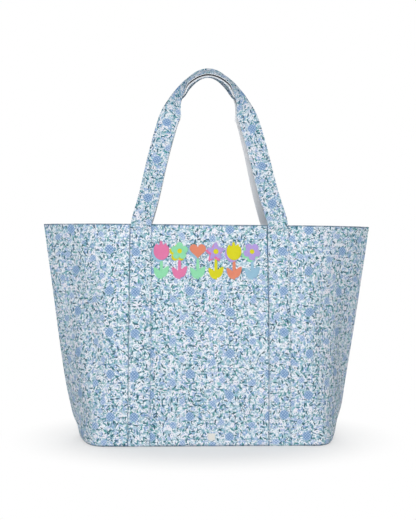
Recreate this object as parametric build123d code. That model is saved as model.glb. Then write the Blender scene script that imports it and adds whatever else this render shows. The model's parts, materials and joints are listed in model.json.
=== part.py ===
"""Knitting bag: a boxed cloth tote with two folded handles.

Frame: millimetres, +Z up, the front faces -Y, and the origin is on the floor
under the middle of the bag. The bag is a tube of cloth of nearly constant
girth: a soft rectangle at the floor, pinched at the side seams to a narrow
lens at the rim. Front and back mirror each other in Y, left and right in X.
"""
from build123d import *
import math
import os

# ---------------------------------------------------------------- bag sizes
body_height = 360.0       # floor to rim
rim_width = 560.0         # side seam to side seam at the rim
mouth_depth = 88.0        # front to back at the middle of the rim
base_width = 392.0        # between the corners at the floor
base_depth = 176.0        # front to back at the floor
flare_start = 448.0       # seam to seam, where the side line meets the floor
side_tuck = 7.0           # the side draws in this much where it meets the floor
tuck_height = 45.0        # height over which the side draws in
waist_width = 356.0       # between the corners where they start to open out
waist_height = 290.0      # height of that point
rim_corner_in = 14.0      # the rim's corner, in from the side seam
rim_corner_depth = 7.0    # and out from the middle plane
flat_width = 300.0        # the face is flat across this width, under the straps
belly = 2.8               # power of the face's curve from floor to rim
corner_start = 0.75       # share of the way to the corner where it starts to turn
corner_end = 0.15         # share of the gusset taken by the corner's turn

# --------------------------------------------------------------- cloth plies
shell_ply = 1.4           # outer cloth with its interlining
lining_ply = 0.9
facing_height = 30.0      # printed facing turned in at the rim
board_ply = 2.5           # stiffener in the base
board_inset = 10.0        # board in from the corners of the base
board_corner = 20.0
ply_gap = 0.25            # between one ply and the next
seam_gap = 0.15           # each panel stops this short of the middle plane

# ------------------------------------------------------------------- straps
strap_width = 34.0
strap_spacing = 228.0     # centre to centre
print_ply = 1.3           # printed side of the strap
backing_ply = 1.0         # plain side of the strap
strap_gap = 0.1           # between the two

# ------------------------------------------------------------------ handles
handle_reach = 260.0      # hinge line to the middle of the front handle's grip
back_rise = 5.0           # the back handle stands this much taller
handle_curve = [          # (half the distance between the strap's middles, reach)
    (102.0, 42.0),
    (86.0, 111.0),
    (68.0, 180.0),
    (57.0, 216.0),
    (41.5, 237.5),
]
station_pitch = 13.0      # between the sections that shape the strap
fold_facets = 10          # flats across the strap, and steps in each for its curve
fold_steps = 5
fold_start = 184.0        # the strap starts to fold here, along its length
fold_end = 232.0          # and is a folded grip from here to its top
fold_angle = 172.0        # turn of the crease in the grip
fold_length = 8.0         # strap taken up by the crease
fold_lift = 0.6           # share of its depth by which the folding strap moves forward
front_flap = 16.5         # free edge to the middle of the crease, in the grip
tilt_start = 218.0        # the folded strap starts to turn here
tilt_end = 240.0          # and its free edges are forward from here to its top
grip_tilt = 50.0          # turn of the grip
grip_half = 6.5           # crease to the middle of the grip
hinge_clearance = 0.3
hinge_out = 1.0           # hinge line, out from the face of the sewn strap
handle_meeting = 0.4      # each handle stops this short of the middle plane

# ----------------------------------------------------- pocket, snap and label
pocket_width = 190.0
pocket_height = 150.0
pocket_top_drop = 75.0    # pocket's top edge, down from the rim
pocket_ply = 0.9
snap_diameter = 18.0
snap_drop = 15.0          # snap's centre, down from the rim
snap_flange = 1.2
snap_boss_diameter = 8.0
snap_boss = 1.6
snap_socket_height = 3.0
label_size = 12.0
label_ply = 0.6
label_height = 11.0       # floor to the label's lower edge
label_side = 3.0          # label's centre, to the right of the middle

strap_ply = print_ply + strap_gap + backing_ply
lining_in = shell_ply + ply_gap
inside = lining_in + lining_ply
level_shares = [0.0, 0.03, 0.07, 0.13, 0.25, 0.42, 0.58, 0.71, 0.80, 0.89, 0.96, 1.0]
levels = [share * body_height for share in level_shares]   # the wall is ruled between these


def mix(a, b, share):
    """The value that lies this share of the way from a to b."""
    return a + (b - a) * share


# ------------------------------------------------------------ form of the bag
def seam_half(z):
    """Middle of the bag to a side seam."""
    tuck = side_tuck * max(0.0, 1 - z / tuck_height) ** 2
    return mix(flare_start, rim_width, z / body_height) / 2 - tuck


def face_depth(z):
    """Middle plane to the flat of the front or back face."""
    return mix(base_depth, mouth_depth, (z / body_height) ** belly) / 2


def corner(z):
    """Where the line of the face and the line of the gusset meet."""
    if z <= waist_height:
        return mix(base_width, waist_width, z / waist_height) / 2, face_depth(z)
    opened = (z - waist_height) / (body_height - waist_height)
    x = mix(waist_width / 2, rim_width / 2 - rim_corner_in, opened)
    return x, mix(face_depth(z), rim_corner_depth, opened)


def shift_line(start, end, inset):
    """The line from start to end, moved to its left by inset."""
    length = math.hypot(end[0] - start[0], end[1] - start[1])
    dx = -(end[1] - start[1]) / length * inset
    dy = (end[0] - start[0]) / length * inset
    return (start[0] + dx, start[1] + dy), (end[0] + dx, end[1] + dy)


def crossing(first, second):
    """Point where two lines cross, each given by two points."""
    (x1, y1), (x2, y2) = first
    (x3, y3), (x4, y4) = second
    below = (x1 - x2) * (y3 - y4) - (y1 - y2) * (x3 - x4)
    a = x1 * y2 - y1 * x2
    b = x3 * y4 - y3 * x4
    return (a * (x3 - x4) - (x1 - x2) * b) / below, (a * (y3 - y4) - (y1 - y2) * b) / below


def quarter(z, inset, stop=seam_gap):
    """Poles of the right front quarter of the outline, from the flat to the side seam."""
    depth = face_depth(z)
    seam = (seam_half(z), 0.0)
    corner_x, corner_y = corner(z)
    flat_end = (flat_width / 2, -depth)
    turn_in = (mix(flat_width / 2, corner_x, corner_start), -depth)
    turn_out = (mix(corner_x, seam[0], corner_end), -mix(corner_y, 0.0, corner_end))
    face = shift_line(flat_end, turn_in, inset)
    chamfer = shift_line(turn_in, turn_out, inset)
    gusset = shift_line(turn_out, seam, inset)
    middle = ((0.0, -stop), (1.0, -stop))
    return [face[0], crossing(face, chamfer), crossing(chamfer, gusset), crossing(gusset, middle)]


def half_outline(z, inset, stop=seam_gap):
    """Front half of the outline at height z, from the left seam to the right seam."""
    poles = quarter(z, inset, stop)
    right = [Vector(x, y, z) for x, y in poles]
    left = [Vector(-x, y, z) for x, y in reversed(poles)]
    return [Bezier(*left), Line(left[-1], right[0]), Bezier(*right)]


def ply_section(z, outer, inner):
    """Section of one ply of the front half, between two insets."""
    outside = half_outline(z, outer)
    within = half_outline(z, inner)
    ends = [Line(outside[-1] @ 1, within[-1] @ 1), Line(within[0] @ 0, outside[0] @ 0)]
    return Face(Wire(outside + ends + within))


def front_ply(low, high, outer, inner):
    """One ply of the front half of the bag's wall, cut to its heights."""
    ply = loft([ply_section(z, outer, inner) for z in levels], ruled=True)
    band = Box(2 * rim_width, 2 * base_depth, high - low, align=(Align.CENTER, Align.CENTER, Align.MIN))
    return ply & Pos(0, 0, low) * band


def to_back(shape):
    """The same piece on the back of the bag."""
    return shape.mirror(Plane.XZ)


def floor_sheet(low, thickness, inset):
    """A flat sheet that fills the whole outline at height low."""
    front = half_outline(low, inset, 0.0)
    back = [edge.mirror(Plane.XZ) for edge in front]
    return extrude(Face(Wire(front + back)), thickness, (0, 0, 1))


def sheet_on_face(left, right, low, high, outer, inner):
    """A sheet that follows the flat of the front face, between two insets from it."""
    rows = [low] + [z for z in levels if low < z < high] + [high]
    outside = [(left, wall_y(z) + outer, z) for z in rows]
    within = [(left, wall_y(z) + inner, z) for z in reversed(rows)]
    profile = Face(Polyline(*outside, *within, close=True).wire())
    return extrude(profile, right - left, (1, 0, 0))


def wall_y(z):
    """Y of the front face's flat at height z, on the ruled wall."""
    for low, high in zip(levels, levels[1:]):
        if z <= high:
            return -mix(face_depth(low), face_depth(high), (z - low) / (high - low))
    return -face_depth(body_height)


# ------------------------------------------------------------- bag's own parts
def wall_panels():
    panel = front_ply(0.0, body_height, 0.0, shell_ply)
    return {"front_panel": panel, "back_panel": to_back(panel)}


def base_parts():
    board_low = shell_ply
    lining_low = board_low + board_ply
    board = RectangleRounded(base_width - 2 * board_inset, base_depth - 2 * board_inset, board_corner)
    return {
        "base_panel": floor_sheet(0.0, shell_ply, lining_in),
        "base_board": Pos(0, 0, board_low) * extrude(board, board_ply),
        "base_lining": floor_sheet(lining_low, lining_ply, inside + ply_gap),
    }


def lining_parts():
    top = body_height - facing_height
    lining = front_ply(shell_ply + board_ply, top - ply_gap, lining_in, inside)
    facing = front_ply(top, body_height, lining_in, inside)
    return {
        "front_lining": lining,
        "back_lining": to_back(lining),
        "front_rim_facing": facing,
        "back_rim_facing": to_back(facing),
    }


def slip_pocket():
    top = body_height - pocket_top_drop
    half = pocket_width / 2
    near = inside + ply_gap
    return to_back(sheet_on_face(-half, half, top - pocket_height, top, near, near + pocket_ply))


def snap_place():
    """Plane on the inside of the front facing, looking into the bag."""
    z = body_height - snap_drop
    step = 1.0
    rise = wall_y(z) - wall_y(z - step)
    normal = Vector(0, step, -rise).normalized()
    on_facing = Vector(0, wall_y(z) + inside + ply_gap, z)
    return Plane(origin=on_facing, x_dir=(1, 0, 0), z_dir=normal)


def snap_parts():
    place = snap_place()
    flange = Cylinder(snap_diameter / 2, snap_flange, align=(Align.CENTER, Align.CENTER, Align.MIN))
    boss = Cylinder(snap_boss_diameter / 2, snap_flange + snap_boss,
                    align=(Align.CENTER, Align.CENTER, Align.MIN))
    stud = flange + boss
    stud = chamfer(stud.edges().group_by(Axis.Z)[-1], snap_boss / 4)
    cup = Cylinder(snap_diameter / 2, snap_socket_height, align=(Align.CENTER, Align.CENTER, Align.MIN))
    cup = chamfer(cup.edges().group_by(Axis.Z)[-1], snap_socket_height / 4)
    hole = Pos(0, 0, snap_socket_height - snap_boss - hinge_clearance) * Cylinder(
        snap_boss_diameter / 2 + hinge_clearance, snap_socket_height,
        align=(Align.CENTER, Align.CENTER, Align.MIN))
    return {"snap_stud": place * stud, "snap_socket": to_back(place * (cup - hole))}


def label_tag():
    half = label_size / 2
    low = label_height
    return sheet_on_face(label_side - half, label_side + half, low, low + label_size,
                         -ply_gap - label_ply, -ply_gap)


def sewn_straps():
    """The four runs of strap sewn down the faces, and the plain ply under them."""
    half = strap_width / 2
    backs = -ply_gap
    prints = backs - backing_ply - strap_gap
    parts = {}
    backings = []
    for name, side in (("left", -1), ("right", 1)):
        left = side * strap_spacing / 2 - half
        right = left + strap_width
        run = sheet_on_face(left, right, 0.0, body_height, prints - print_ply, prints)
        backings.append(sheet_on_face(left, right, 0.0, body_height, backs - backing_ply, backs))
        parts["front_strap_" + name] = run
        parts["back_strap_" + name] = to_back(run)
    parts["front_strap_backing"] = Compound(backings)
    parts["back_strap_backing"] = Compound([to_back(backing) for backing in backings])
    return parts


# --------------------------------------------------------------- handle loops
def smooth_step(value, low, high):
    share = min(1.0, max(0.0, (value - low) / (high - low)))
    return share * share * (3 - 2 * share)


def strap_midline(folded, tilted):
    """Middle of the strap's section as (out, across, turn), free edge first.

    out runs from the inside of the loop outwards, and across runs from the
    back of the loop to its front. folded goes from 0, flat, to 1, closed on
    itself, and tilted then turns the grip so that its free edges come forward.
    """
    crease = mix(strap_width / 2, front_flap, folded)
    steps = fold_facets * fold_steps
    step = strap_width / steps
    out, across = 0.0, 0.0
    line = []
    for index in range(steps + 1):
        along = index * step
        turn = math.radians(fold_angle) * folded
        turn *= smooth_step(along, crease - fold_length / 2, crease + fold_length / 2)
        turn += math.radians(grip_tilt) * tilted
        line.append((out, across, turn))
        out += step * math.cos(turn)
        across -= step * math.sin(turn)
    top = max(point[0] for point in line)
    shift = mix(strap_width / 2, mix(strap_width / 4, grip_half, tilted), folded) - top
    lift = -min(point[1] for point in line) * mix(fold_lift * folded, 1, tilted)
    return [(out + shift, across + lift, turn) for out, across, turn in line]


def strap_curve(folded, tilted, offset):
    """One face of the strap's section, moved off the midline towards the front."""
    line = strap_midline(folded, tilted)[::fold_steps]
    return [(out + offset * math.sin(turn), across + offset * math.cos(turn))
            for out, across, turn in line]


hinge_y = -(mouth_depth / 2 + ply_gap + strap_ply + hinge_out)
hinge_z = body_height + strap_ply / 2 + hinge_clearance


def loop_line(rise):
    """Middle of the right half of the loop, from the hinge to the top, as (x, reach)."""
    points = [(strap_spacing / 2, 0.0)] + handle_curve + [(0.0, handle_reach + rise)]
    return Spline(points, tangents=[(-0.27, 0.96), (-1, 0)])


def loop_stations(rise, start):
    """Places along the right half of the loop as (point, tangent, folded, tilted).

    The strap leaves the rim square to it, so its first section is level.
    """
    line = loop_line(rise)
    count = round(line.length / station_pitch)
    stations = [(Vector(strap_spacing / 2, start), Vector(0, 1), 0.0, 0.0)]
    for index in range(1, count + 1):
        along = line.length * index / count
        point = line.position_at(along, PositionMode.LENGTH)
        tangent = line.tangent_at(along, PositionMode.LENGTH)
        folded = smooth_step(along, fold_start, fold_end)
        stations.append((point, tangent, folded, smooth_step(along, tilt_start, tilt_end)))
    return stations


def loop_section(station, side, first, second, lean):
    """Section of one ply of the strap, between two offsets towards the front."""
    point, tangent, folded, tilted = station
    outward = Vector(tangent.Y, -tangent.X)

    def place(out, across):
        x = side * (point.X + outward.X * out)
        reach = point.Y + outward.Y * out
        y = hinge_y + reach * math.sin(lean) - across * math.cos(lean)
        z = hinge_z + reach * math.cos(lean) + across * math.sin(lean)
        return Vector(x, y, z)

    near = [place(*point) for point in strap_curve(folded, tilted, first)]
    far = [place(*point) for point in reversed(strap_curve(folded, tilted, second))]
    return Face(Polyline(*near, *far, close=True).wire())


def loop_ply(rise, first, second, start):
    """One ply of a handle, from the right foot over the top to the left foot."""
    lean = math.asin((-hinge_y - strap_ply / 2 - handle_meeting) / (handle_reach + rise + grip_half))
    stations = loop_stations(rise, start)
    right = [loop_section(station, 1, first, second, lean) for station in stations]
    left = [loop_section(station, -1, first, second, lean) for station in reversed(stations[:-1])]
    return loft(right + left, ruled=True)


def strap_fold(side):
    """The rounded fold on which one foot of the front handle turns over the rim."""
    fold = Cylinder(strap_ply / 2, strap_width, rotation=(0, 90, 0))
    return Pos(side * strap_spacing / 2, hinge_y, hinge_z) * fold


def handle_plies(rise):
    """Both plies of the front handle, which stands taller by rise."""
    front = strap_ply / 2
    printed = loop_ply(rise, front - print_ply, front, 0.0) + strap_fold(-1) + strap_fold(1)
    return printed, loop_ply(rise, -front, backing_ply - front, front + strap_gap)


def handles():
    front_print, front_backing = handle_plies(0.0)
    back_print, back_backing = handle_plies(back_rise)
    return {
        "front_handle": front_print,
        "front_handle_backing": front_backing,
        "back_handle": to_back(back_print),
        "back_handle_backing": to_back(back_backing),
    }


def bag():
    parts = {}
    parts.update(wall_panels())
    parts.update(base_parts())
    parts.update(lining_parts())
    parts["slip_pocket"] = slip_pocket()
    parts.update(snap_parts())
    parts["label_tag"] = label_tag()
    parts.update(sewn_straps())
    parts.update(handles())
    return parts


os.makedirs("parts", exist_ok=True)
for node, shape in bag().items():
    export_step(shape, "parts/" + node + ".step")
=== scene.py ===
"""Knitting bag: the cloth, straps, needlework and finishes over the fixed frame.

Metres, +Z up, the front faces -Y. The wall of the bag is one tube of cloth:
its rest form is taken from the frame's panels, it is sagged by a short cloth
simulation and a few listed dents, and every ply follows that one wall.
A side is -1 for the front and 1 for the back, a hand -1 for left and 1 for right.
"""
import json
import math

import bmesh
import bpy
import numpy as np
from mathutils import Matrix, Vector
from mathutils.bvhtree import BVHTree


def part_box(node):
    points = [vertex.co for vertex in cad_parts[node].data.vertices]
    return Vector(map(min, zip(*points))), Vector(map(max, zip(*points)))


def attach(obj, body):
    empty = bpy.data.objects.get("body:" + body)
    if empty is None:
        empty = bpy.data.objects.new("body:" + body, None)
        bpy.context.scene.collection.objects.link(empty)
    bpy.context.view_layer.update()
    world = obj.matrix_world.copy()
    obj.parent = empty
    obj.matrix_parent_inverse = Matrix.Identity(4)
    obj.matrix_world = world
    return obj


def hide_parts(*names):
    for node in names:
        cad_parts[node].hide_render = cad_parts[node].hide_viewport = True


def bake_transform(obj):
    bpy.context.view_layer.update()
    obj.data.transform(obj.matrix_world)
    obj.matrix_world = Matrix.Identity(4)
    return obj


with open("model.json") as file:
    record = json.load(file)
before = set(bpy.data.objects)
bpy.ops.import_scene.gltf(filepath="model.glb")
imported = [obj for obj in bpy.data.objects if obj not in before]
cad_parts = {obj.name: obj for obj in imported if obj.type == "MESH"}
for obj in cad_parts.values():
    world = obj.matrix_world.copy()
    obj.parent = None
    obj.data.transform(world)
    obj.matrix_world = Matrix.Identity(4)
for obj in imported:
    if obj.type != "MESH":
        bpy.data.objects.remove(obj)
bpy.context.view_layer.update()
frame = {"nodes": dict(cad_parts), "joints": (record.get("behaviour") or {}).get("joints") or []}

mm = 0.001
full_turn = 6.283
scene = bpy.context.scene

# --- camera
turn, roll = math.radians(3.3), math.radians(-0.4)
distance, eye_height = 1.45, 0.301
camera = bpy.data.objects.new("camera", bpy.data.cameras.new("camera"))
camera.location = (-distance * math.sin(turn), -distance * math.cos(turn), eye_height)
camera.rotation_euler = (math.radians(90), roll, -turn)
camera.data.sensor_width = 36
camera.data.lens = 58.53
camera.data.clip_end = 60
scene.collection.objects.link(camera)
scene.camera = camera
scene.view_settings.view_transform = "Standard"


# --- sizes, from the frame
def span(node, axis):
    low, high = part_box(node)
    return low[axis], high[axis]


rim_half = span("front_panel", 0)[1]
base_half_depth = -span("front_panel", 1)[0]
bag_height = span("front_panel", 2)[1]
strap_left, strap_right = span("front_strap_right", 0)
strap_width = strap_right - strap_left
strap_x = (strap_left + strap_right) / 2
facing_low = span("front_rim_facing", 2)[0]
lining_low, lining_high = span("front_lining", 2)
board_top = span("base_board", 2)[1]
joint_places = {joint["name"]: joint["pos_m"] for joint in frame["joints"]}
hinge_y, hinge_z = joint_places["front_handle_fold"][1:]

shell_ply = 1.4 * mm
ply_gap = 0.25 * mm
lining_ply = 0.9 * mm
print_ply = 1.3 * mm
backing_ply = 1.0 * mm
strap_gap = 0.1 * mm
lining_in = shell_ply + ply_gap
inside = lining_in + lining_ply
half_stack = (print_ply + strap_gap + backing_ply) / 2


def mix(a, b, share):
    return a + (b - a) * share


def smooth(value, low, high):
    share = np.clip((value - low) / (high - low), 0.0, 1.0)
    return share * share * (3 - 2 * share)


def unit(vectors):
    return vectors / np.maximum(np.linalg.norm(vectors, axis=-1, keepdims=True), 1e-12)


def along_line(points):
    """Length along a line of points, at each of them."""
    steps = np.linalg.norm(np.diff(points, axis=0), axis=1)
    return np.concatenate([[0.0], np.cumsum(steps)])


def take(values, places, wanted):
    """Rows of values, known at places, at the wanted places."""
    flat = values.reshape(len(values), -1)
    columns = [np.interp(wanted, places, flat[:, k]) for k in range(flat.shape[1])]
    return np.stack(columns, axis=-1).reshape((len(wanted),) + values.shape[1:])


def grid_of(across, up):
    """Grid of pairs from the places across and the places up."""
    return np.stack(np.broadcast_arrays(across[None, :], up[:, None]), axis=-1)


def bracket(places, place):
    """The step that holds a place: its number, its length and the share of it that is passed."""
    k = min(len(places) - 2, max(0, int(np.searchsorted(places, place)) - 1))
    step = places[k + 1] - places[k]
    return k, step, (place - places[k]) / step


def hermite(low, high, leave, arrive, t):
    """Smooth curve between two places at share t, with its travel at both."""
    return (low * (2 * t**3 - 3 * t**2 + 1) + leave * (t**3 - 2 * t**2 + t)
            + high * (3 * t**2 - 2 * t**3) + arrive * (t**3 - t**2))


def curve_at(values, slopes, places, wanted):
    """Rows on the smooth curve that has these values and slopes at places."""
    rows = []
    for place in wanted:
        k, step, t = bracket(places, place)
        rows.append(hermite(values[k], values[k + 1], slopes[k] * step, slopes[k + 1] * step, t))
    return np.array(rows)


def directions(points, places, wanted, reach):
    """Unit directions of a line at the wanted places, over reach to both sides."""
    ahead = take(points, places, np.minimum(wanted + reach, places[-1]))
    behind = take(points, places, np.maximum(wanted - reach, 0.0))
    return unit(ahead - behind)


# --- the wall's rest form
level_shares = (0.0004, 0.03, 0.07, 0.13, 0.25, 0.42, 0.58, 0.71, 0.80, 0.89, 0.96, 0.9996)
outline_steps = 180
seam_clearance = 0.0004


def outline(z):
    """Outside of the front half at height z, from the left seam to the right one."""
    left, right = [surface.ray_cast((hand, -seam_clearance, z), (-hand, 0, 0))[0].x for hand in (-1, 1)]
    points = [(left, 0.0, z)]
    for step in range(1, outline_steps):
        angle = math.pi * step / outline_steps
        out = Vector((-rim_half * math.cos(angle), -base_half_depth * math.sin(angle), 0))
        hit = surface.ray_cast(out * 3 + Vector((0, 0, z)), -out.normalized())[0]
        points.append(tuple(hit))
    return np.array(points + [(right, 0.0, z)])


def spaced(length, pitch, edge):
    """Places from 0 to length at about pitch, with the steps of edge at both ends."""
    first, last = edge[-1], length - edge[-1]
    middle = np.linspace(first, last, max(2, round((last - first) / pitch) + 1))
    return np.array(edge[:-1] + list(middle) + [length - step for step in reversed(edge[:-1])])


panel_mesh = frame["nodes"]["front_panel"].data
surface = BVHTree.FromPolygons([v.co.copy() for v in panel_mesh.vertices],
                               [tuple(face.vertices) for face in panel_mesh.polygons])
levels = np.array([share * bag_height for share in level_shares])
lines = [outline(z) for z in levels]
half_girth = float(np.mean([along_line(line)[-1] for line in lines]))
girth_edge = [0, 0.7 * mm, 1.5 * mm, 2.6 * mm, 4.2 * mm, 7 * mm]
height_edge = [0, 0.8 * mm, 1.7 * mm, 2.8 * mm, 4.4 * mm, 7 * mm]
girth_places = spaced(half_girth, 5 * mm, girth_edge) / half_girth
heights = spaced(bag_height, 5 * mm, height_edge)
columns = len(girth_places)
level_rows = np.array([take(line, along_line(line) / along_line(line)[-1], girth_places) for line in lines])
half_wall = curve_at(level_rows, np.gradient(level_rows, levels, axis=0), levels, heights)
half_wall[:, :, 2] = heights[:, None]
ring_wall = np.concatenate([half_wall, half_wall[:, -2:0:-1] * [1, -1, 1]], axis=1)
ring_places = np.concatenate([girth_places / 2, (1 + girth_places[1:-1]) / 2])
wall_length = float(np.mean([along_line(half_wall[:, c])[-1] for c in range(columns)]))


def closed_ring(grid):
    return np.concatenate([grid, grid[:, :1]], axis=1)


def ring_normals(ring):
    """Outward normals of a grid that closes on itself around the bag."""
    around = unit(np.roll(ring, -1, axis=1) - np.roll(ring, 1, axis=1))
    up = unit(np.gradient(ring, axis=0))
    return unit(np.cross(around, up))


def resample(ring, places, rows, wanted_places, wanted_rows):
    """A grid around the bag, worked out at other places and heights."""
    turned = take(closed_ring(ring), rows, wanted_rows).transpose(1, 0, 2)
    return take(turned, np.append(places, 1.0), wanted_places).transpose(1, 0, 2)


def even_out(ring):
    """Softens a grid around the bag; its top and bottom rows stay."""
    for _ in range(6):
        around = (np.roll(ring, 1, axis=1) + 2 * ring + np.roll(ring, -1, axis=1)) / 4
        ring = around.copy()
        ring[1:-1] = (around[:-2] + 2 * around[1:-1] + around[2:]) / 4
    return ring


# --- how the cloth hangs
sag_columns, sag_rows, sag_steps = 120, 37, 26
sag_limit = 6 * mm
sag_settings = {"quality": 6, "mass": 0.25, "air_damping": 4, "tension_stiffness": 25,
                "compression_stiffness": 25, "shear_stiffness": 12, "bending_stiffness": 2,
                "vertex_group_mass": "held", "vertex_group_bending": "strapped", "bending_stiffness_max": 30,
                "shrink_min": -0.012, "use_pressure": True, "uniform_pressure_force": 0.10}
foot_round = 5 * mm
level_foot = 12 * mm
hollows = [   # side (0 for both), x, z, half width, half length, lean in degrees, depth inwards in mm
    (-1, 0.186, 0.0, 0.020, 0.050, -3, -14.0),
    (-1, -0.188, 0.0, 0.020, 0.045, 3, -8.0),
    (0, 0.236, 0.075, 0.034, 0.115, -6, 3.5),
    (0, -0.230, 0.022, 0.030, 0.050, 6, 3.5),
    (-1, -0.205, 0.215, 0.016, 0.120, 14, 4.5),
    (-1, -0.165, 0.250, 0.026, 0.110, 8, -2.0),
    (-1, 0.205, 0.250, 0.014, 0.070, -14, 2.5),
    (-1, 0.020, 0.250, 0.060, 0.090, 5, 2.0),
    (-1, 0.165, 0.120, 0.022, 0.080, 4, -1.5),
    (1, 0.190, 0.200, 0.018, 0.110, -12, 4.0),
    (1, -0.185, 0.150, 0.020, 0.080, 10, 3.0),
    (1, 0.010, 0.180, 0.070, 0.100, -6, 2.5),
]


def sagged(grid):
    """How far the empty tube of cloth moves when it hangs, held at rim and base."""
    flat = grid.reshape(-1, 3)
    index = np.arange(len(flat)).reshape(grid.shape[:2])
    following = np.roll(index, -1, axis=1)
    faces = np.stack([index[:-1], following[:-1], following[1:], index[1:]], axis=-1).reshape(-1, 4)
    mesh = bpy.data.meshes.new("sag_trial")
    mesh.from_pydata(flat.tolist(), [], faces.tolist())
    trial = bpy.data.objects.new("sag_trial", mesh)
    scene.collection.objects.link(trial)
    strapped = np.flatnonzero(np.abs(np.abs(flat[:, 0]) - strap_x) < strap_width * 0.6)
    for name, members in (("held", np.concatenate([index[0], index[-1]])), ("strapped", strapped)):
        trial.vertex_groups.new(name=name).add(members.tolist(), 1.0, "REPLACE")
    cloth = trial.modifiers.new("cloth", "CLOTH")
    for key, value in sag_settings.items():
        setattr(cloth.settings, key, value)
    for step in range(1, sag_steps + 1):
        scene.frame_set(step)
    settled = trial.evaluated_get(bpy.context.evaluated_depsgraph_get()).to_mesh()
    found = np.array([tuple(vertex.co) for vertex in settled.vertices]).reshape(grid.shape)
    scene.frame_set(1)
    bpy.data.objects.remove(trial)
    return found - grid


def dent(ring, normals, side, x, z, across, along, lean, depth):
    """Move of the wall for one row of hollows."""
    dx, dz = ring[:, :, 0] - x, ring[:, :, 2] - z
    cos, sin = math.cos(math.radians(lean)), math.sin(math.radians(lean))
    first = (dx * cos + dz * sin) / across
    second = (dz * cos - dx * sin) / along
    own_side = np.clip(side * ring[:, :, 1] / (14 * mm), 0, 1) if side else 1
    there = np.exp(-(first**2 + second**2)) * own_side
    return normals * (-(depth * mm) * there)[:, :, None]


def drape():
    """Moves the ring of the wall from its rest form to how the bag really stands."""
    normals = ring_normals(ring_wall)
    move = np.zeros_like(ring_wall)
    coarse_places = np.linspace(0, 1, sag_columns + 1)[:-1]
    coarse_rows = np.linspace(0, bag_height, sag_rows)
    shift = sagged(resample(ring_wall, ring_places, heights, coarse_places, coarse_rows))
    size = np.linalg.norm(shift, axis=2, keepdims=True)
    shift *= np.tanh(size / sag_limit) * sag_limit / np.maximum(size, 1e-9)
    move = even_out(resample(shift, coarse_places, coarse_rows, ring_places, heights))
    for hollow in hollows:
        move = move + dent(ring_wall, normals, *hollow)
    above_foot = 0.65 + 0.35 * smooth(heights, 0, 25 * mm)
    below_rim = 1 - 0.75 * smooth(heights, bag_height - 50 * mm, bag_height)
    move = move * (above_foot * below_rim)[:, None, None]
    move[:, :, 1] *= np.clip(np.abs(ring_wall[:, :, 1]) / (12 * mm), 0, 1)   # the side seams keep their plane
    return ring_wall + move


wall = drape()
foot_inset = foot_round - np.sqrt(foot_round**2 - (foot_round - np.minimum(heights, foot_round))**2)
wall = wall - ring_normals(wall) * [1, 1, 0] * foot_inset[:, None, None]
wall[heights < level_foot, :, 2] = heights[heights < level_foot, None]
wall_normals = ring_normals(wall)


back_print_start = 0.731
floor_print_start = (0.31, 0.47)


def half(ring, side):
    """The front or back half of a grid around the bag, seam to seam."""
    whole = closed_ring(ring)
    return whole[:, :columns] if side < 0 else whole[:, columns - 1:]


def rows_between(low, high):
    """Heights of the grid's rows from low to high, with those two."""
    return np.array([low] + [z for z in heights if low + 0.4 * mm < z < high - 0.4 * mm] + [high])


def wall_grid(side, low, high):
    """Points, normals and cloth places of one half of the wall between two heights."""
    across = (girth_places - 0.5) * half_girth + (0.0 if side < 0 else back_print_start)
    grids = (half(wall, side), half(wall_normals, side), grid_of(across, heights))
    return [take(grid, heights, rows_between(low, high)) for grid in grids]


def on_wall(side, xs, zs):
    """Points and normals on one half of the wall, where its rest form has these x and z."""
    known, *grids = [half(ring, side)[:, ::-side] for ring in (ring_wall, wall, wall_normals)]
    results = np.zeros((2, len(zs), len(xs), 3))
    for r, z in enumerate(zs):
        k, _, t = bracket(heights, z)
        for grid, result in zip(grids, results):
            low = take(grid[k], known[k, :, 0], xs)
            high = take(grid[k + 1], known[k + 1, :, 0], xs)
            result[r] = mix(low, high, t)
    return results


# --- cloth meshes
def link(item, body, finish, node=None):
    """Puts a piece into the scene; a piece without a body is left without a parent."""
    scene.collection.objects.link(item)
    if body:
        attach(item, body)
    if node:
        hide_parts(node)
    item.data.materials.append(finish)
    return item


def finished(shape, name):
    """An object made of a bmesh, smooth and with its normals outwards."""
    for made in shape.faces:
        made.smooth = True
    bmesh.ops.recalc_face_normals(shape, faces=shape.faces)
    mesh = bpy.data.meshes.new(name)
    shape.to_mesh(mesh)
    shape.free()
    return bpy.data.objects.new(name, mesh)


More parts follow.
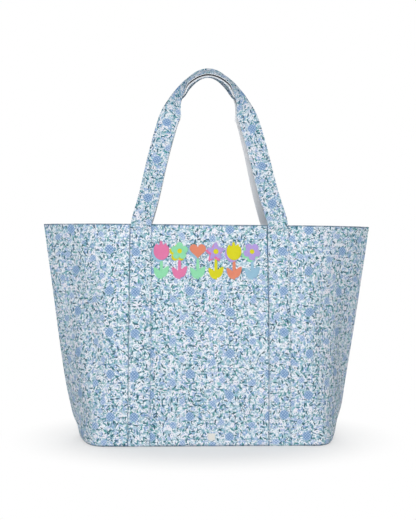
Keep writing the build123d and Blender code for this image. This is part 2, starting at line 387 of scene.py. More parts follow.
def ply(name, points, normals, cloth, outer, inner, keep_side=0):
    """A sheet of cloth between two offsets from a grid of points, as a closed mesh with rounded edges.

    keep_side holds the sheet on its own side of the middle plane.
    """
    rows, across = points.shape[:2]
    sides = [points + normals * outer, points + normals * inner]
    if keep_side:
        for grid in sides:
            grid[:, :, 1] = keep_side * np.maximum(keep_side * grid[:, :, 1], 0.12 * mm)
    shape = bmesh.new()
    pattern = shape.loops.layers.uv.new("cloth")
    grids = [[[shape.verts.new(tuple(point)) for point in row] for row in grid] for grid in sides]
    border = ([(0, c) for c in range(across)] + [(r, across - 1) for r in range(1, rows)]
              + [(rows - 1, c) for c in range(across - 2, -1, -1)] + [(r, 0) for r in range(rows - 2, 0, -1)])
    border_steps = list(zip(border, border[1:] + border[:1]))

    def face(corners):
        made = shape.faces.new([grids[layer][r][c] for layer, r, c in corners])
        for loop, (_, r, c) in zip(made.loops, corners):
            loop[pattern].uv = tuple(cloth[r, c])

    for r in range(rows - 1):
        for c in range(across - 1):
            face([(0, r, c), (0, r, c + 1), (0, r + 1, c + 1), (0, r + 1, c)])
            face([(1, r + 1, c), (1, r + 1, c + 1), (1, r, c + 1), (1, r, c)])
    for (r1, c1), (r2, c2) in border_steps:
        face([(1, r1, c1), (1, r2, c2), (0, r2, c2), (0, r1, c1)])
    rim = [shape.edges.get((grid[r1][c1], grid[r2][c2]))
           for (r1, c1), (r2, c2) in border_steps for grid in grids]
    bmesh.ops.bevel(shape, geom=rim, offset=abs(outer - inner) * 0.42, offset_type="OFFSET", segments=2,
                    profile=0.5, affect="EDGES", clamp_overlap=True)
    return finished(shape, name)


def between(shape, low, high):
    """Faces between two rings of corners."""
    for k in range(len(low)):
        n = (k + 1) % len(low)
        shape.faces.new((low[k], low[n], high[n], high[k]))


def capsule(shape, centre, heading, normal, length, thick):
    """One stitch: a short rounded thread lying on the cloth."""
    sides, lift, stations = 6, 0.35, ((-0.5, 0.35), (-0.36, 0.9), (0.36, 0.9), (0.5, 0.35))
    across = np.cross(heading, normal)
    rings = []
    for place, size in stations:
        sink = lift - 0.9 * abs(place) * (abs(place) > 0.4)
        middle = centre + heading * place * length + normal * sink * thick
        angles = [2 * math.pi * k / sides for k in range(sides)]
        spokes = [across * math.cos(angle) + normal * math.sin(angle) for angle in angles]
        rings.append([shape.verts.new(tuple(middle + spoke * thick / 2 * size)) for spoke in spokes])
    for low, high in zip(rings, rings[1:]):
        between(shape, low, high)
    shape.faces.new(rings[0][::-1])
    shape.faces.new(rings[-1])


def stitched(name, face, normals, down, along, *sizes):
    """Stitches down some columns and along some rows of a grid; sizes are pitch, length, thickness in mm."""
    pitch, length, thick = [size * mm for size in sizes]
    shape = bmesh.new()
    for line, ups in [(face[:, k], normals[:, k]) for k in down] + [(face[k], normals[k]) for k in along]:
        places = along_line(line)
        count = max(2, int(places[-1] / pitch))
        wanted = (np.arange(count) + 0.5) * places[-1] / count
        headings = directions(line, places, wanted, 0.2 * mm)
        for centre, heading, up in zip(take(line, places, wanted), headings, unit(take(ups, places, wanted))):
            capsule(shape, centre, heading, up, length, thick)
    return finished(shape, name)


def on_floor(piece):
    """Draws up the foot of a piece that would reach into the floor."""
    knee, lowest = 6 * mm, -3.2 * mm
    for vertex in piece.data.vertices:
        if vertex.co.z < knee:
            vertex.co.z = knee * (vertex.co.z - lowest) / (knee - lowest)


# --- finishes
def math_node(operation):
    """A method of Wire that adds this Math node."""
    return lambda wire, *others: wire.math(operation, *others)


class Wire:
    """One output of a shader node; sums on it add Math nodes."""

    def __init__(self, nodes, socket):
        self.nodes, self.socket = nodes, socket

    def output(self, name):
        return Wire(self.nodes, self.socket.node.outputs[name])

    def math(self, operation, *others):
        return self.nodes.node("Math", self, *others, operation=operation)

    __add__ = __radd__ = math_node("ADD")
    __sub__ = math_node("SUBTRACT")
    __mul__ = __rmul__ = math_node("MULTIPLY")
    __truediv__ = math_node("DIVIDE")
    __pow__ = math_node("POWER")
    __gt__ = math_node("GREATER_THAN")
    __abs__ = math_node("ABSOLUTE")

    def __rsub__(self, other):
        return self.nodes.node("Math", other, self, operation="SUBTRACT")

    def wave(self, pitch, kind="SINE"):
        """A wave that repeats at this pitch."""
        return (self * (full_turn / pitch)).math(kind)

    def edge(self, low, high):
        """0 below low and 1 above high, or the other way round, with a smooth edge."""
        return self.nodes.node("MapRange", self, low, high, interpolation_type="SMOOTHSTEP")


class Nodes:
    """A node tree that is put together piece by piece."""

    def __init__(self, tree):
        self.tree = tree

    def feed(self, socket, value):
        if isinstance(value, Wire):
            self.tree.links.new(value.socket, socket)
        else:
            socket.default_value = colour(value) if isinstance(value, str) else value

    def node(self, kind, *inputs, output=0, named=(), **settings):
        """An output of a new shader node, with its first inputs, its named inputs and its settings."""
        made = self.tree.nodes.new("ShaderNode" + kind)
        for key, value in settings.items():
            setattr(made, key, value)
        for key, value in [*enumerate(inputs), *dict(named).items()]:
            self.feed(made.inputs[key], value)
        return Wire(self, made.outputs[output])

    def seen_directly(self):
        """1 where the camera looks straight at it or in a mirror, 0 for its light on other things."""
        path = self.node("LightPath", output="Is Camera Ray")
        return path.math("MAXIMUM", path.output("Is Glossy Ray"))


class Finish(Nodes):
    """A material that is put together from nodes."""

    def __init__(self, name, roughness, **constants):
        self.material = bpy.data.materials.new(name)
        self.material.use_nodes = True
        super().__init__(self.material.node_tree)
        self.shader = self.tree.nodes["Principled BSDF"]
        self.set(Roughness=roughness, **constants)

    def vector(self, operation, *values):
        return self.node("VectorMath", *values, operation=operation)

    def layer(self, paint, *above):
        """Colours laid over paint, each where the mask that follows it is 1."""
        for shade, mask in zip(above[::2], above[1::2]):
            paint = self.node("Mix", output=2, named={0: mask, 6: paint, 7: shade}, data_type="RGBA")
        return paint

    def noise(self, place, scale, detail=2.0, stretch=None, output=0):
        moved = self.vector("MULTIPLY", place, stretch) if stretch else place
        return self.node("TexNoise", output=output, named={"Vector": moved, "Scale": scale, "Detail": detail})

    def split(self, place):
        whole = self.node("SeparateXYZ", place)
        return whole, whole.output("Y"), whole.output("Z")

    def cloth_place(self):
        return self.node("UVMap", uv_map="cloth")

    def object_place(self):
        return self.node("TexCoord", output="Object")

    def set(self, **sockets):
        for socket, value in sockets.items():
            self.feed(self.shader.inputs[socket.replace("_", " ")], value)

    def done(self, paint, roughness, height, strength, depth):
        """The material, with this colour, roughness and relief."""
        bump = self.node("Bump", named={"Strength": strength, "Distance": depth, "Height": height})
        self.set(Base_Color=paint, Roughness=roughness, Normal=bump)
        return self.material

    def stamps(self, place, pitch, shift, jitter=1.0):
        """The place within the nearest of scattered stamps, turned at random, and its two lots."""
        moved = self.vector("ADD", place, (shift, shift * 1.7, 0))
        cells = self.node("TexVoronoi", output="Position", voronoi_dimensions="2D",
                          named={"Vector": moved, "Scale": 1 / pitch, "Randomness": jitter})
        lot, second, third = self.split(cells.output("Color"))
        local = self.vector("SUBTRACT", moved, cells)
        turned = self.node("VectorRotate", rotation_type="Z_AXIS",
                           named={"Vector": local, "Angle": lot * full_turn})
        return *self.split(turned)[:2], second, third

    def half_drop(self, place, across, down, right, up):
        """The place within the nearest of the repeats, each column half a repeat lower than the last."""
        x, y, _ = self.split(place)
        column = x * (1 / across) + right
        row = y * (1 / down) + (column * 0.5 + up)
        near = column.math("FRACT") - 0.5
        return near * across, (row.math("FRACT") - 0.5 - near * 0.5) * down


def colour(code):
    """Linear colour from a hex code."""
    parts = [int(code[k:k + 2], 16) / 255 for k in (1, 3, 5)]
    return tuple(p / 12.92 if p <= 0.04045 else ((p + 0.055) / 1.055) ** 2.4 for p in parts) + (1.0,)


def leaf(x, y, length, width, soft):
    """Mask of a pointed leaf."""
    reach = 1 - (x / length) ** 2.0
    return (reach * width - abs(y)).edge(-soft, soft)


def leaves(finish, paint, place, crowd, rows):
    """Scattered leaves over paint, with crowd added to their lots.

    A row is shift, pitch, length, width, soft edge, least lot, strength and two colours.
    """
    for shift, pitch, length, width, soft, least, strength, first, second in rows:
        x, y, lot, other = finish.stamps(place, pitch * mm, shift)
        mask = leaf(x, y, length * mm, width * mm, soft * mm) * (lot + crowd > least) * strength
        paint = finish.layer(paint, finish.layer(first, second, other), mask)
    return paint


def bloom(x, y, radius, petals, deep):
    """Mask of a round flower, and how far out from its middle a place is."""
    out, soft = (x * x + y * y) ** 0.5, 0.25 * mm
    wave = abs((y.math("ARCTAN2", x) * (petals / 2)).math("COSINE"))
    reach = radius * (1 - deep) + wave * (radius * deep)
    return (reach - out).edge(-soft, soft), out


def ditsy_print(finish, place):
    """Small blue flowers and teal leaves: blossoms in half-drop columns, the rest scattered."""
    wobble = finish.vector("SUBTRACT", finish.noise(place, 60, 1.0, output=1), (0.5, 0.5, 0.5))
    drawn = finish.vector("ADD", place, finish.vector("MULTIPLY", wobble, (3.5 * mm, 3.5 * mm, 0)))
    dapple = finish.noise(place, 330).edge(0.42, 0.62)
    paint = finish.layer("#E9EFF6", "#B0CCDC", finish.noise(place, 150).edge(0.44, 0.56))
    paint = leaves(finish, paint, drawn, 0.0, (
        (0.113, 9, 3.2, 2.2, 0.8, 0.55, 0.6, "#D6D2E8", "#D6D2E8"),
        (0.371, 11, 4.2, 2.1, 0.4, 0.25, 1.0, "#8ABFC9", "#84AECF"),
        (0.471, 13, 4.2, 2.1, 0.4, 0.25, 1.0, "#A9CDD4", "#93BFC2")))
    aside = finish.vector("ADD", place, (0.7, 0.2, 0))
    for vein, middle, shade in ((finish.noise(place, 75, 1.5), 0.5, "#7C9FB0"),
                                (finish.noise(aside, 90, 1.0), 0.46, "#86AEB4")):
        paint = finish.layer(paint, shade, 1 - abs(vein - middle).edge(0.006, 0.014))

    for shift, pitch, radius, first, second in ((0.619, 14 * mm, 4.2 * mm, "#86A7D2", "#6F97C8"),
                                                (0.257, 17 * mm, 3.6 * mm, "#97B4D9", "#A3B7DD")):
        x, y, lot, other = finish.stamps(drawn, pitch, shift, 0.9)
        mask, out = bloom(x, y, radius, 5, 0.38)
        petal = finish.layer(first, second, other, "#D9E2F2", out.edge(1.6 * mm, 0.9 * mm),
                             "#5E7FAE", out.edge(0.9 * mm, 0.6 * mm), "#CAD9EA", dapple * 0.55)
        paint = finish.layer(paint, petal, mask * (lot > 0.28))
    x, y, lot, _ = finish.stamps(drawn, 18 * mm, 0.843)
    mask, out = bloom(x, y, 3.9 * mm, 5, 0.35)
    petal = finish.layer("#F1F4FA", "#E0D3E4", out.edge(1.6 * mm, 3.4 * mm) * 0.8,
                         "#7C98BC", out.edge(1.1 * mm, 0.7 * mm))
    paint = finish.layer(paint, petal, mask * (lot > 0.40))

    crowd = (finish.split(place)[0] * (full_turn / (65 * mm)) + 2.2).math("COSINE") * 0.16
    paint = leaves(finish, paint, place, crowd, (
        (0.709, 12.5, 3.8, 1.30, 0.25, 0.30, 1.0, "#7FAAB4", "#759CB4"),
        (0.947, 8.0, 2.4, 0.80, 0.25, 0.66, 1.0, "#45758A", "#4F78A0"),
        (0.531, 11.0, 4.6, 1.20, 0.25, 0.22, 1.0, "#36798A", "#45968E"),
        (0.193, 9.5, 4.4, 1.15, 0.25, 0.36, 1.0, "#1C4759", "#256577")))
    x, y, lot, _ = finish.stamps(place, 5.5 * mm, 0.287)
    spot = ((x * x + y * y) ** 0.5).edge(0.85 * mm, 0.5 * mm)
    paint = finish.layer(paint, "#30627A", spot * (lot > 0.50))
    paint = leaves(finish, paint, place, 0.0, (
        (0.337, 5, 2.0, 0.75, 0.25, 0.35, 0.95, "#F3F5FA", "#F3F5FA"),
        (0.561, 6, 2.0, 0.75, 0.25, 0.35, 0.95, "#F3F5FA", "#F3F5FA")))

    for right, up, radius, outer, middle, dots in ((0.0, 0.0, 7.6 * mm, "#769AC4", "#5C86B8", "#BCD2E8"),
                                                   (0.43, 0.21, 5.6 * mm, "#86A6CD", "#7096C4", "#C8D9EC"),
                                                   (0.20, 0.64, 5.0 * mm, "#90ADD2", "#7F9FCA", "#CFDDEE")):
        x, y = finish.half_drop(drawn, 65 * mm, 67 * mm, right, up)
        mask, out = bloom(x, y, radius, 9, 0.12)
        seeds = (x.wave(4.6 * mm, "COSINE") * y.wave(4.6 * mm, "COSINE")).edge(0.15, 0.4)
        head = finish.layer(outer, middle, out.edge(radius * 0.9, radius * 0.3),
                            dots, (seeds * 0.8 + dapple * 0.2).math("MINIMUM", 0.9))
        paint = finish.layer(paint, head, mask)
    return paint


def weave(x, y, pitch, twill=0.0):
    """Height of a weave: threads over and under each other, or in slanting ribs."""
    warp = (x + y * twill).wave(pitch)
    weft = (y - x * twill * 0.2).wave(pitch)
    return warp * 0.75 + weft * 0.25 if twill else warp * weft


def painted_seam_shade(finish, paint, place):
    """Painted shade, made uneven by noise: darker towards the sides, a line beside each strap's edges with
    the left one darker, a line under the rim and one at the foot.
    """
    x, _, z = finish.split(finish.object_place())
    uneven = finish.noise(place, 45).edge(0.25, 0.6)
    lines = 0.0
    # Painted shade lines beside each strap's edges, darker beside the left edge.
    for middle in (-strap_x, strap_x):
        for edge_x, dark in ((middle - strap_width / 2, 0.95), (middle + strap_width / 2, 0.35)):
            lines = lines + abs(x - edge_x).edge(2.6 * mm, 1.2 * mm) * dark
    lines = lines * (uneven * 0.5 + 0.5) * (z.edge(0.0, bag_height) * 0.35 + 0.65)
    rim = z.edge(bag_height - 2.8 * mm, bag_height - 1.0 * mm) * (uneven * 0.45 + 0.4)
    foot = z.edge(5 * mm, 1 * mm) * (uneven * 0.45 + 0.25)
    # A wash of painted shade towards the sides, then the painted shade lines.
    return finish.layer(paint, "#1F4F70", abs(x).edge(140 * mm, 230 * mm) * 0.09,
                        "#3B5870", (lines + rim + foot).math("MINIMUM", 0.9))


def printed_cloth(name="printed_cloth", seams=False, held=None):
    """The print on its woven cloth; the last two arguments add painted shade: along the straps, rim, foot and
    sides, and over a grip given by its middle and half its length, darkest there and lighter over the rest of
    the strap.
    """
    finish = Finish(name, 0.8, Sheen_Weight=0.12, Sheen_Roughness=0.5)
    place = finish.cloth_place()
    x, y, _ = finish.split(place)
    threads = weave(x, y, 0.9 * mm)
    slub = finish.noise(place, 120, 3.0, (1, 9, 0))
    crease = finish.noise(place, 16, 4.0)
    paint = finish.layer(ditsy_print(finish, place), "#9FB2C4", slub.edge(0.56, 0.80) * 0.12)
    # Painted shade along the straps, the rim, the foot and the sides.
    if seams:
        paint = painted_seam_shade(finish, paint, place)
    if held:
        # Painted shade over the grip, and a lighter wash of it over the whole strap.
        grip = abs(y - held[0]).edge(held[1] + 40 * mm, held[1] - 10 * mm)
        paint = finish.layer(paint, "#1F4F70", grip * 0.26 + 0.10)
    relief = threads * 0.06 + slub * 0.25 + crease * 2.2
    return finish.done(paint, threads * 0.04 + 0.80, relief, 0.55, 0.9 * mm)


def plain_cloth(name, base, thread, pitch, twill, strength=0.5, fold_shade=None):
    """Woven cloth in one colour; the last argument places painted shade deep inside a crease: across, middle
    along and half its length.
    """
    finish = Finish(name, 0.85, Sheen_Weight=0.15, Sheen_Roughness=0.5)
    place = finish.cloth_place()
    x, y, _ = finish.split(place)
    threads = weave(x, y, pitch, twill)
    slub = finish.noise(place, 150, 3.0, (8, 1, 0))
    worn = finish.noise(place, 25, 4.0)
    paint = finish.layer(base, thread, (threads * 0.25 + 0.25 + slub * 0.35).edge(0.1, 0.9),
                         thread, worn.edge(0.5, 0.8) * 0.35)
    if fold_shade:
        # Painted shade deep inside the crease.
        deep = (abs(x - fold_shade[0]).edge(15.8 * mm, 13 * mm)
                * abs(y - fold_shade[1]).edge(fold_shade[2] + 12 * mm, fold_shade[2] - 8 * mm))
        paint = finish.layer(paint, "#3B4655", deep * 0.9)
    relief = threads * 0.5 + slub * 0.6 + worn * 1.5
    return finish.done(paint, worn * 0.1 + 0.8, relief, strength, 0.5 * mm)


def stitch_thread(name, base, shade):
    """Twisted sewing thread, on the object's own coordinates."""
    finish = Finish(name, 0.6, Sheen_Weight=0.2)
    place = finish.object_place()
    x, y, z = finish.split(place)
    twist = (x + y * 0.6 + z).wave(0.45 * mm)
    tone = finish.noise(place, 60)
    paint = finish.layer(base, shade, (twist * 0.3 + tone * 0.6).edge(0.1, 0.8))
    return finish.done(paint, tone * 0.2 + 0.5, twist, 0.4, 0.1 * mm)


def satin_thread(name, base, shade):
    """Satin stitch: fine threads side by side; the colour carries painted shade between the threads and
    painted breaks in their shine.
    """
    finish = Finish(name, 0.45, Sheen_Weight=0.1, Anisotropic=0.4)
    place = finish.cloth_place()
    x, _, _ = finish.split(place)
    rib = (x + finish.noise(place, 140, 1.0) * 0.6 * mm).wave(0.9 * mm)
    tone = finish.noise(place, 220, 2.0, (6, 1, 1))
    # The ribs paint shade between the threads; the tone paints breaks in their shine.
    paint = finish.layer(base, shade, (rib * 0.3 + tone * 0.7).edge(0.10, 0.80) * 0.7)
    return finish.done(paint, tone * 0.25 + 0.38, rib, 0.8, 0.25 * mm)


def snap_finish():
    """Brushed metal, a little worn."""
    finish = Finish("snap_metal", 0.3, Metallic=1.0)
    place = finish.object_place()
    brushed, wear = finish.noise(place, 900, 3.0, (1, 1, 14)), finish.noise(place, 260, 4.0)
    paint = finish.layer("#C9CCD0", "#9EA3A9", wear.edge(0.45, 0.7))
    return finish.done(paint, brushed * 0.18 + wear * 0.12 + 0.15, brushed, 0.15, 0.05 * mm)


def board_finish():
    """Grey board with its fibres."""
    finish = Finish("base_stiffener", 0.9)
    place = finish.object_place()
    fibre, cloud = finish.noise(place, 400, 5.0, (1, 3, 1)), finish.noise(place, 30, 3.0)
    paint = finish.layer("#B9B2A6", "#8F887C", (fibre * 0.6 + cloud * 0.5).edge(0.4, 0.75))
    return finish.done(paint, fibre * 0.1 + 0.82, fibre, 0.3, 0.3 * mm)


print_finish = printed_cloth()
panel_finish = printed_cloth("panel_cloth", seams=True)
backing_finish = plain_cloth("strap_backing", "#EEF0F4", "#D3D8E1", 1.1 * mm, 1.0)
lining_finish = plain_cloth("lining_cloth", "#C5D6E8", "#A9BFD8", 0.8 * mm, 0.0)
label_finish = plain_cloth("label_cloth", "#F4F3EE", "#DDDCD4", 0.5 * mm, 0.0)
thread_finish = stitch_thread("stitch_thread", "#C9D6E4", "#9DB0C6")
snap_metal = snap_finish()
for node, finish in (("snap_stud", snap_metal), ("snap_socket", snap_metal), ("base_board", board_finish())):
    materials = frame["nodes"][node].data.materials
    materials.clear()
    materials.append(finish)


# --- the bag's own plies
side_names = {-1: "front", 1: "back"}


def shell(side):
    """Outer panel, lining and rim facing of one side."""
    name = side_names[side]
    panel = ply(name + "_panel_cloth", *wall_grid(side, 0.0, bag_height), 0.0, -shell_ply, side)
    link(panel, "bag", panel_finish, name + "_panel")
    low_grid = wall_grid(side, lining_low + 0.6 * mm, lining_high)
    lining = ply(name + "_lining_cloth", *low_grid, -lining_in, -inside, side)
    link(lining, "bag", lining_finish, name + "_lining")
    facing = ply(name + "_facing_cloth", *wall_grid(side, facing_low, bag_height), -lining_in, -inside, side)
    link(facing, "bag", print_finish, name + "_rim_facing")


def floor_ply(name, z, inset, thick, finish, node):
    """A ply that closes the bag's foot, from the front's lower edge to the back's."""
    foot = [half(wall, side)[0] - half(wall_normals, side)[0] * [1, 1, 0] * inset for side in (-1, 1)]
    pick = np.linspace(0, columns - 1, 61).round().astype(int)[1:-1]
    front, back = foot[0][pick], foot[1][::-1][pick]
    front[:, 2] = back[:, 2] = z
    points = np.array([mix(front, back, share) for share in np.linspace(0, 1, 25)])
    normals = np.zeros_like(points)
    normals[:, :, 2] = -1
    piece = ply(name, points, normals, points[:, :, :2] + floor_print_start, 0.0, -thick)
    link(piece, "bag", finish, node)


def patch(side, node, across, up):
    """Points, normals and cloth places of a small piece, where its node lies on the wall."""
    xs, zs = np.linspace(*span(node, 0), across), np.linspace(*span(node, 2), up)
    return *on_wall(side, xs, zs), grid_of(xs, zs)


def pocket():
    """Slip pocket on the back lining, open at its hemmed top."""
    points, normals, cloth = patch(1, "slip_pocket", 39, 31)
    near = inside + ply_gap
    piece = ply("slip_pocket_cloth", points, normals, cloth, -near, -near - lining_ply)
    link(piece, "bag", lining_finish, "slip_pocket")
    face = points - normals * (near + lining_ply)
    link(stitched("pocket_stitches", face, -normals, (1, -2), (1, -3), 3.2, 2.4, 0.45), "bag",
         thread_finish)


def label():
    """The bare tag low on the front, sewn down all round."""
    points, normals, cloth = patch(-1, "label_tag", 13, 13)
    outer = ply_gap + 0.6 * mm
    link(ply("label_tag_cloth", points, normals, cloth, outer, ply_gap), "bag", label_finish,
         "label_tag")
    face = points + normals * outer
    link(stitched("label_stitches", face, normals, (1, -2), (1, -2), 1.7, 1.2, 0.3), "bag",
         thread_finish)


for side in (-1, 1):
    shell(side)
floor_ply("base_panel_cloth", 0.0, 0.3 * mm, shell_ply, print_finish, "base_panel")
floor_ply("base_lining_cloth", board_top, 0.2 * mm, lining_ply, lining_finish, "base_lining")
pocket()

# --- straps
handle_reach, back_rise = 260 * mm, 5 * mm
handle_curve = [(x * mm, up * mm) for x, up in ((102, 42), (86, 111), (68, 180), (55, 216), (41.5, 237.5))]
fold_start, fold_end = 182 * mm, 238 * mm
tilt_start, tilt_end = 228 * mm, 256 * mm
fold_turn, fold_length = math.radians(172), 8 * mm
grip_tilt = math.radians(50)
front_flap, grip_half, fold_lift = 16.5 * mm, 6.5 * mm, 0.6
sway_depth, sway_reach = -1.3 * mm, 100 * mm
across_count, fine = 29, 8
strap_across = np.linspace(-strap_width / 2, strap_width / 2, across_count)
station_count, bridge_rows = 80, 5
foot_z = bag_height - 9 * mm
foot_levels = np.linspace(foot_z, bag_height - 0.1 * mm, 4)[:2]
join_reach = 7 * mm
print_shift = 0.613


def clamped_spline(points, first, last, count):
    """A smooth curve through points with its end directions given, as count points."""
    points = np.array(points, dtype=float)
    places = along_line(points)
    steps = np.diff(places)
    n = len(points)
    matrix, right = np.zeros((n, n)), np.zeros((n, points.shape[1]))
    matrix[0, 0] = matrix[-1, -1] = 1
    right[0], right[-1] = first, last
    for k in range(1, n - 1):
        a, b = steps[k - 1], steps[k]
        matrix[k, k - 1:k + 2] = b, 2 * (a + b), a
        right[k] = 3 * (b * (points[k] - points[k - 1]) / a + a * (points[k + 1] - points[k]) / b)
    return curve_at(points, np.linalg.solve(matrix, right), places, np.linspace(0, places[-1], count))


def strap_section(folded, tilted):
    """Middle of the strap's section, from the free edge on the inside: places out and across, and turns.

    folded brings the crease in from the outer edge to the middle, and tilted then turns the grip so that its
    free edges come forward.
    """
    crease = mix(strap_width + fold_length / 2, front_flap, folded)
    turn = fold_turn * smooth(folded, 0.0, 0.35)
    step = strap_width / ((across_count - 1) * fine)
    places = np.arange((across_count - 1) * fine + 1) * step
    bend = turn * smooth(places, crease - fold_length / 2, crease + fold_length / 2) + grip_tilt * tilted
    out = np.append(0.0, np.cumsum(step * np.cos(bend[:-1])))
    across = np.append(0.0, np.cumsum(-step * np.sin(bend[:-1])))
    shift = mix(strap_width / 2, mix(strap_width / 4, grip_half, tilted), folded) - out.max()
    lift = -across.min() * mix(fold_lift * folded, 1, tilted)
    return (out + shift)[::fine], (across + lift)[::fine], bend[::fine]


def leaned(x, up, front, lean):
    """Directions on the upright loop, turned to the leaning one; front runs to the front."""
    cos, sin = math.cos(lean), math.sin(lean)
    return np.stack([x, up * sin - front * cos, up * cos + front * sin], axis=-1)


def loop_half(hand, rise):
    """One half of the front loop, from its foot to its top: points and normals across the strap."""
    reach = handle_reach + rise
    lean = math.asin((-hinge_y - half_stack - 0.4 * mm) / (reach + grip_half))
    line = clamped_spline([(strap_x, 0.0), *handle_curve, (0.0, reach)], (-0.27, 0.96), (-1, 0), 400)
    places = along_line(line)
    wanted = np.linspace(join_reach, places[-1], station_count)
    tangents = directions(line, places, wanted, 1 * mm)
    tangents[-1] = (-1, 0)
    square = smooth(wanted, 0, 20 * mm)[:, None]
    tangents = unit(tangents * square + (1 - square) * [0, 1])
    points, normals = [], []
    for centre, tangent, place in zip(take(line, places, wanted), tangents, wanted):
        folded, tilted = smooth(place, fold_start, fold_end), smooth(place, tilt_start, tilt_end)
        out, across, bend = strap_section(folded, tilted)
        x, up = centre[0] + tangent[1] * out, centre[1] - tangent[0] * out
        sway = sway_depth * smooth(up, 0.0, sway_reach)
        points.append(leaned(hand * x + sway, up, across, lean) + (0, hinge_y, hinge_z))
        outward = np.sin(bend)
        normals.append(leaned(hand * tangent[1] * outward, -tangent[0] * outward, np.cos(bend), lean))
    return np.array(points), np.array(normals)


def bridge(low, low_normals, high, high_normals):
    """Points and normals of the rows that lead from the end of one strip to the start of another."""
    start, end = low[-1], high[0]
    gap = np.linalg.norm(end - start, axis=-1, keepdims=True)
    leave, arrive = unit(low[-1] - low[-2]) * gap, unit(high[1] - high[0]) * gap
    shares = np.linspace(0, 1, bridge_rows + 2)[1:-1]
    return (np.array([hermite(start, end, leave, arrive, t) for t in shares]),
            np.array([unit(mix(low_normals[-1], high_normals[0], smooth(t, 0, 1))) for t in shares]))


def whole_handle(rise):
    """Points and normals of the front handle from its left foot to its right one, taller by rise."""
    halves = []
    for hand in (-1, 1):
        points, normals = on_wall(-1, hand * (strap_x + strap_across), foot_levels)
        foot, loop = (points + normals * (ply_gap + half_stack), normals), loop_half(hand, rise)
        halves.append([np.concatenate(parts) for parts in zip(foot, bridge(*foot, *loop), loop)])
    return [np.concatenate([left, right[-2::-1]]) for left, right in zip(*halves)]


def strap_cloth(points, start):
    """Places on the strap's flat cloth: across it, and along it from start."""
    along = along_line(points[:, points.shape[1] // 2]) + start
    return grid_of(strap_across + start * print_shift, along)


def strap_pieces(name, points, normals, start, flip, body, finishes, plain_node=None, sewn=slice(None)):
    """Printed ply, plain ply and edge stitches of a strap around its middle surface.

    start is where its cloth begins, flip is for a grid that runs the other way round, and sewn is the part
    of its length with stitches.
    """
    grids = [grid[:, ::-1] if flip else grid for grid in (points, normals, strap_cloth(points, start))]
    face = points + normals * half_stack
    printed = ply(name + "_cloth", *grids, half_stack, half_stack - print_ply)
    plain = ply(name + "_backing_cloth", *grids, backing_ply - half_stack, -half_stack)
    stitches = stitched(name + "_stitches", face[sewn], normals[sewn], (2, -3), (), 3.4, 2.5, 0.5)
    return (link(printed, body, finishes[0], name),
            link(plain, body, finishes[1], plain_node),
            link(stitches, body, thread_finish))


def handle(side):
    name = side_names[side]
    rise, start = (0.0, 0.9) if side < 0 else (back_rise, 1.9)
    points, normals = [grid * [1, -side, 1] for grid in whole_handle(rise)]
    long = strap_cloth(points, start)[-1, 0, 1] - start
    grip = (start + long / 2, long / 2 - fold_end)
    # Painted shade: over the grip on the print, and deep inside the grip's crease on the backing.
    crease = (start * print_shift + front_flap - strap_width / 2, *grip)
    finishes = (printed_cloth(name + "_grip_print", held=grip),
                plain_cloth(name + "_grip_backing", "#F8FAFC", "#E2E7EE", 1.1 * mm, 1.0, 0.25, crease))
    for piece in strap_pieces(name + "_handle", points, normals, start, side < 0, None, finishes,
                              name + "_handle_backing", slice(4, -4)):
        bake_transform(piece)


def sewn_strap(side, hand):
    """One run of strap down a face, from the foot of the bag to the handle's foot."""
    name = side_names[side] + "_strap_" + ("left" if hand < 0 else "right")
    points, normals = on_wall(side, strap_across + hand * strap_x, rows_between(0.4 * mm, foot_z))
    middle = points + normals * (ply_gap + half_stack)
    pieces = strap_pieces(name, middle, normals, 0.2 * hand + 0.37 * side, side > 0, "bag",
                          (print_finish, backing_finish))
    for piece in pieces:
        on_floor(piece)
    return pieces[1]


for side in (-1, 1):
    handle(side)
    runs = [sewn_strap(side, hand) for hand in (-1, 1)]
    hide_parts(side_names[side] + "_strap_backing")
label()


# --- needlework
def polar(angle, reach=1.0):
    return reach * math.sin(angle), reach * math.cos(angle)


def heart_edge(angle):
    x = 16 * math.sin(angle) ** 3
    y = 13 * math.cos(angle) - 5 * math.cos(2 * angle) - 2 * math.cos(3 * angle) - math.cos(4 * angle)
    return x / 17, y / 17 + 0.1


def flower_edge(angle):
    return polar(angle, 0.66 + 0.34 * abs(math.cos(2.5 * angle)) ** 0.7)


def star_edge(angle):
    part = abs(2 * ((angle * 5 / (2 * math.pi)) % 1) - 1)
    return polar(angle, mix(0.50, 1.0, part ** 1.3))


def leaf_edge(angle):
    x, y = polar(angle)
    return 0.48 * x * (1 - 0.35 * y), y


def tulip_edge(angle):
    x, y = polar(angle)
    reach = 1 - 0.36 * smooth(y, 0.45, 0.8) * (0.5 - 0.5 * math.cos(angle * 9.2))
    return 0.80 * x * reach, (y if y > 0 else 0.92 * y) * reach


def stem_edge(angle):
    x, y = polar(angle)
    return 0.15 * math.copysign(abs(x) ** 0.5, x), y


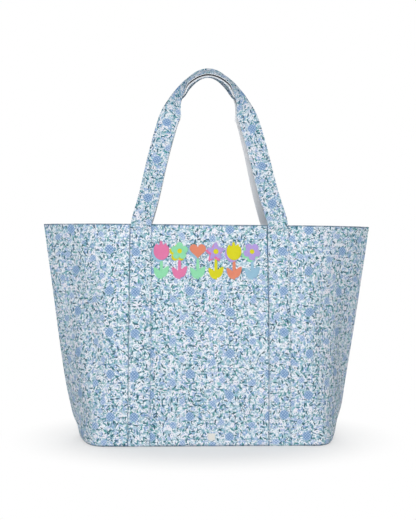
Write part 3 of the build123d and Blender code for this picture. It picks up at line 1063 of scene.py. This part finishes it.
def motif(name, edge, x, z, size, tilt, thread, *lifts):
    """A patch of satin stitch with a raised, rounded face, laid on the front panel.

    lifts are how many mm its underside, its face and the foot of its rim lie over the panel.
    """
    base, outer, inner = [lift * mm for lift in lifts]
    rim_count, rings = 60, ((1.0, 0.05), (0.985, 0.6), (0.93, 0.9), (0.7, 1.0), (0.4, 1.0), (0.15, 1.0))
    cos, sin = math.cos(math.radians(tilt)), math.sin(math.radians(tilt))
    ends = [edge(2 * math.pi * k / rim_count) for k in range(rim_count)]
    shape = bmesh.new()
    pattern = shape.loops.layers.uv.new("cloth")
    places = {}

    def corner(px, pz, lift):
        point, normal = on_wall(-1, [x + px * cos - pz * sin], [z + px * sin + pz * cos])[:, 0, 0]
        made = shape.verts.new(tuple(point + normal * lift))
        places[made] = (px, pz)
        return made

    def ring(share, lift):
        return [corner(ex * size * share, ez * size * share, lift) for ex, ez in ends]

    rows = [ring(share, mix(inner, outer, high)) for share, high in rings]
    under = ring(0.98, base)
    top, bottom = corner(0, 0, outer), corner(0, 0, base)
    for low, high in zip([under, *rows], rows):
        between(shape, low, high)
    for k in range(-1, rim_count - 1):
        shape.faces.new((rows[-1][k], rows[-1][k + 1], top))
        shape.faces.new((bottom, under[k + 1], under[k]))
    for made in shape.faces:
        for loop in made.loops:
            loop[pattern].uv = places[loop.vert]
    link(finished(shape, name), "bag", satin[thread])


satin = {name: satin_thread("satin_" + name, base, shade) for name, base, shade in (
    ("pink", "#F988BA", "#E46FA4"), ("mint", "#A2F4C2", "#86DCA9"), ("yellow", "#F1EC00", "#D8D300"),
    ("sky", "#A8D4EC", "#8BBFDC"), ("coral", "#F99878", "#E68062"), ("lavender", "#C8AFF3", "#AD94DE"))}
stem_z, leaf_z, shadow_z, head_z = 0.2880, 0.2820, 0.3135, 0.3165
border = [   # head, its edge, x, size, tilt, face, shadow, leaves
    ("tulip", tulip_edge, -0.080, 0.0162, 0, "pink", "sky", "mint"),
    ("daisy", flower_edge, -0.050, 0.0144, 0, "mint", "yellow", "pink"),
    ("heart", heart_edge, -0.020, 0.0143, 0, "coral", "sky", "mint"),
    ("star", star_edge, 0.010, 0.0158, 0, "lavender", "pink", "yellow"),
    ("bell", tulip_edge, 0.040, 0.0156, 0, "yellow", "lavender", "coral"),
    ("rose", flower_edge, 0.070, 0.0144, 36, "lavender", "mint", "sky"),
]
for kind, edge, x, size, tilt, face, shadow, leafage in border:
    name = "needlework_" + kind
    motif(name + "_stem", stem_edge, x, stem_z, 0.0175, 0, leafage, 0.05, 0.9, 0.25)
    for hand, leaf_name in ((-1, "_leaf_left"), (1, "_leaf_right")):
        motif(name + leaf_name, leaf_edge, x + hand * 6.2 * mm, leaf_z + hand * 1 * mm, 0.0105, -hand * 34,
              leafage, 0.1, 1.0, 0.3)
    motif(name + "_shadow", edge, x - 2.8 * mm, shadow_z, size, tilt, shadow, 0.1, 1.05, 0.3)
    motif(name + "_head", edge, x, head_z, size, tilt, face, 1.1, 1.7, 1.2)
    if edge in (flower_edge, star_edge):
        motif(name + "_eye", polar, x, head_z, size * 0.27, 0, "yellow", 1.75, 2.2, 1.85)


# --- floor and light
# The floor takes shadows near the object and turns into the white ground further out.
finish = Finish("studio_floor", 0.9, Base_Color=(0.86, 0.86, 0.86, 1))
x, y, _ = finish.split(finish.object_place())
out = ((x * x * 0.6 + y * y) ** 0.5).edge(0.11, 0.27) * 0.65 + 0.35
glow = finish.node("Emission", (1, 1, 1, 1), 1.0)
pale = Wire(finish, finish.shader.outputs[0])
near = finish.node("MixShader", finish.seen_directly() * out, pale, glow)
finish.feed(finish.tree.nodes["Material Output"].inputs["Surface"], near)

bpy.ops.mesh.primitive_plane_add(size=24, location=(0, 0, -0.0002))
floor = bpy.context.object
floor.name = "studio_floor"
floor.data.materials.append(finish.material)

for name, place, aim_z, size, power in (("key_light", (-0.2, -2.5, 1.2), 0.28, (1.1, 1.0), 42),
                                        ("fill_light", (-1.1, -2.1, 0.9), 0.25, (1.2, 1.2), 3),
                                        ("top_light", (0.0, 0.2, 2.4), 0.20, (2.0, 2.0), 9),
                                        ("rear_light", (0.4, 2.4, 1.6), 0.28, (2.2, 1.6), 32)):
    lamp = bpy.data.lights.new(name, "AREA")
    lamp.shape = "RECTANGLE"
    lamp.size, lamp.size_y = size
    lamp.energy = power
    item = bpy.data.objects.new(name, lamp)
    item.location = place
    item.rotation_euler = (Vector((0, 0, aim_z)) - Vector(place)).to_track_quat("-Z", "Y").to_euler()
    scene.collection.objects.link(item)

world = bpy.data.worlds.new("studio_world")
scene.world = world
world.use_nodes = True
sky = Nodes(world.node_tree)
ground = sky.tree.nodes["Background"].inputs
level = sky.node("MapRange", sky.seen_directly(), 0.0, 1.0, 0.20, 1.0)
sky.feed(ground["Strength"], level)
ground["Color"].default_value = (1, 1, 1, 1)

# --- final update of the scene
bpy.context.view_layer.update()
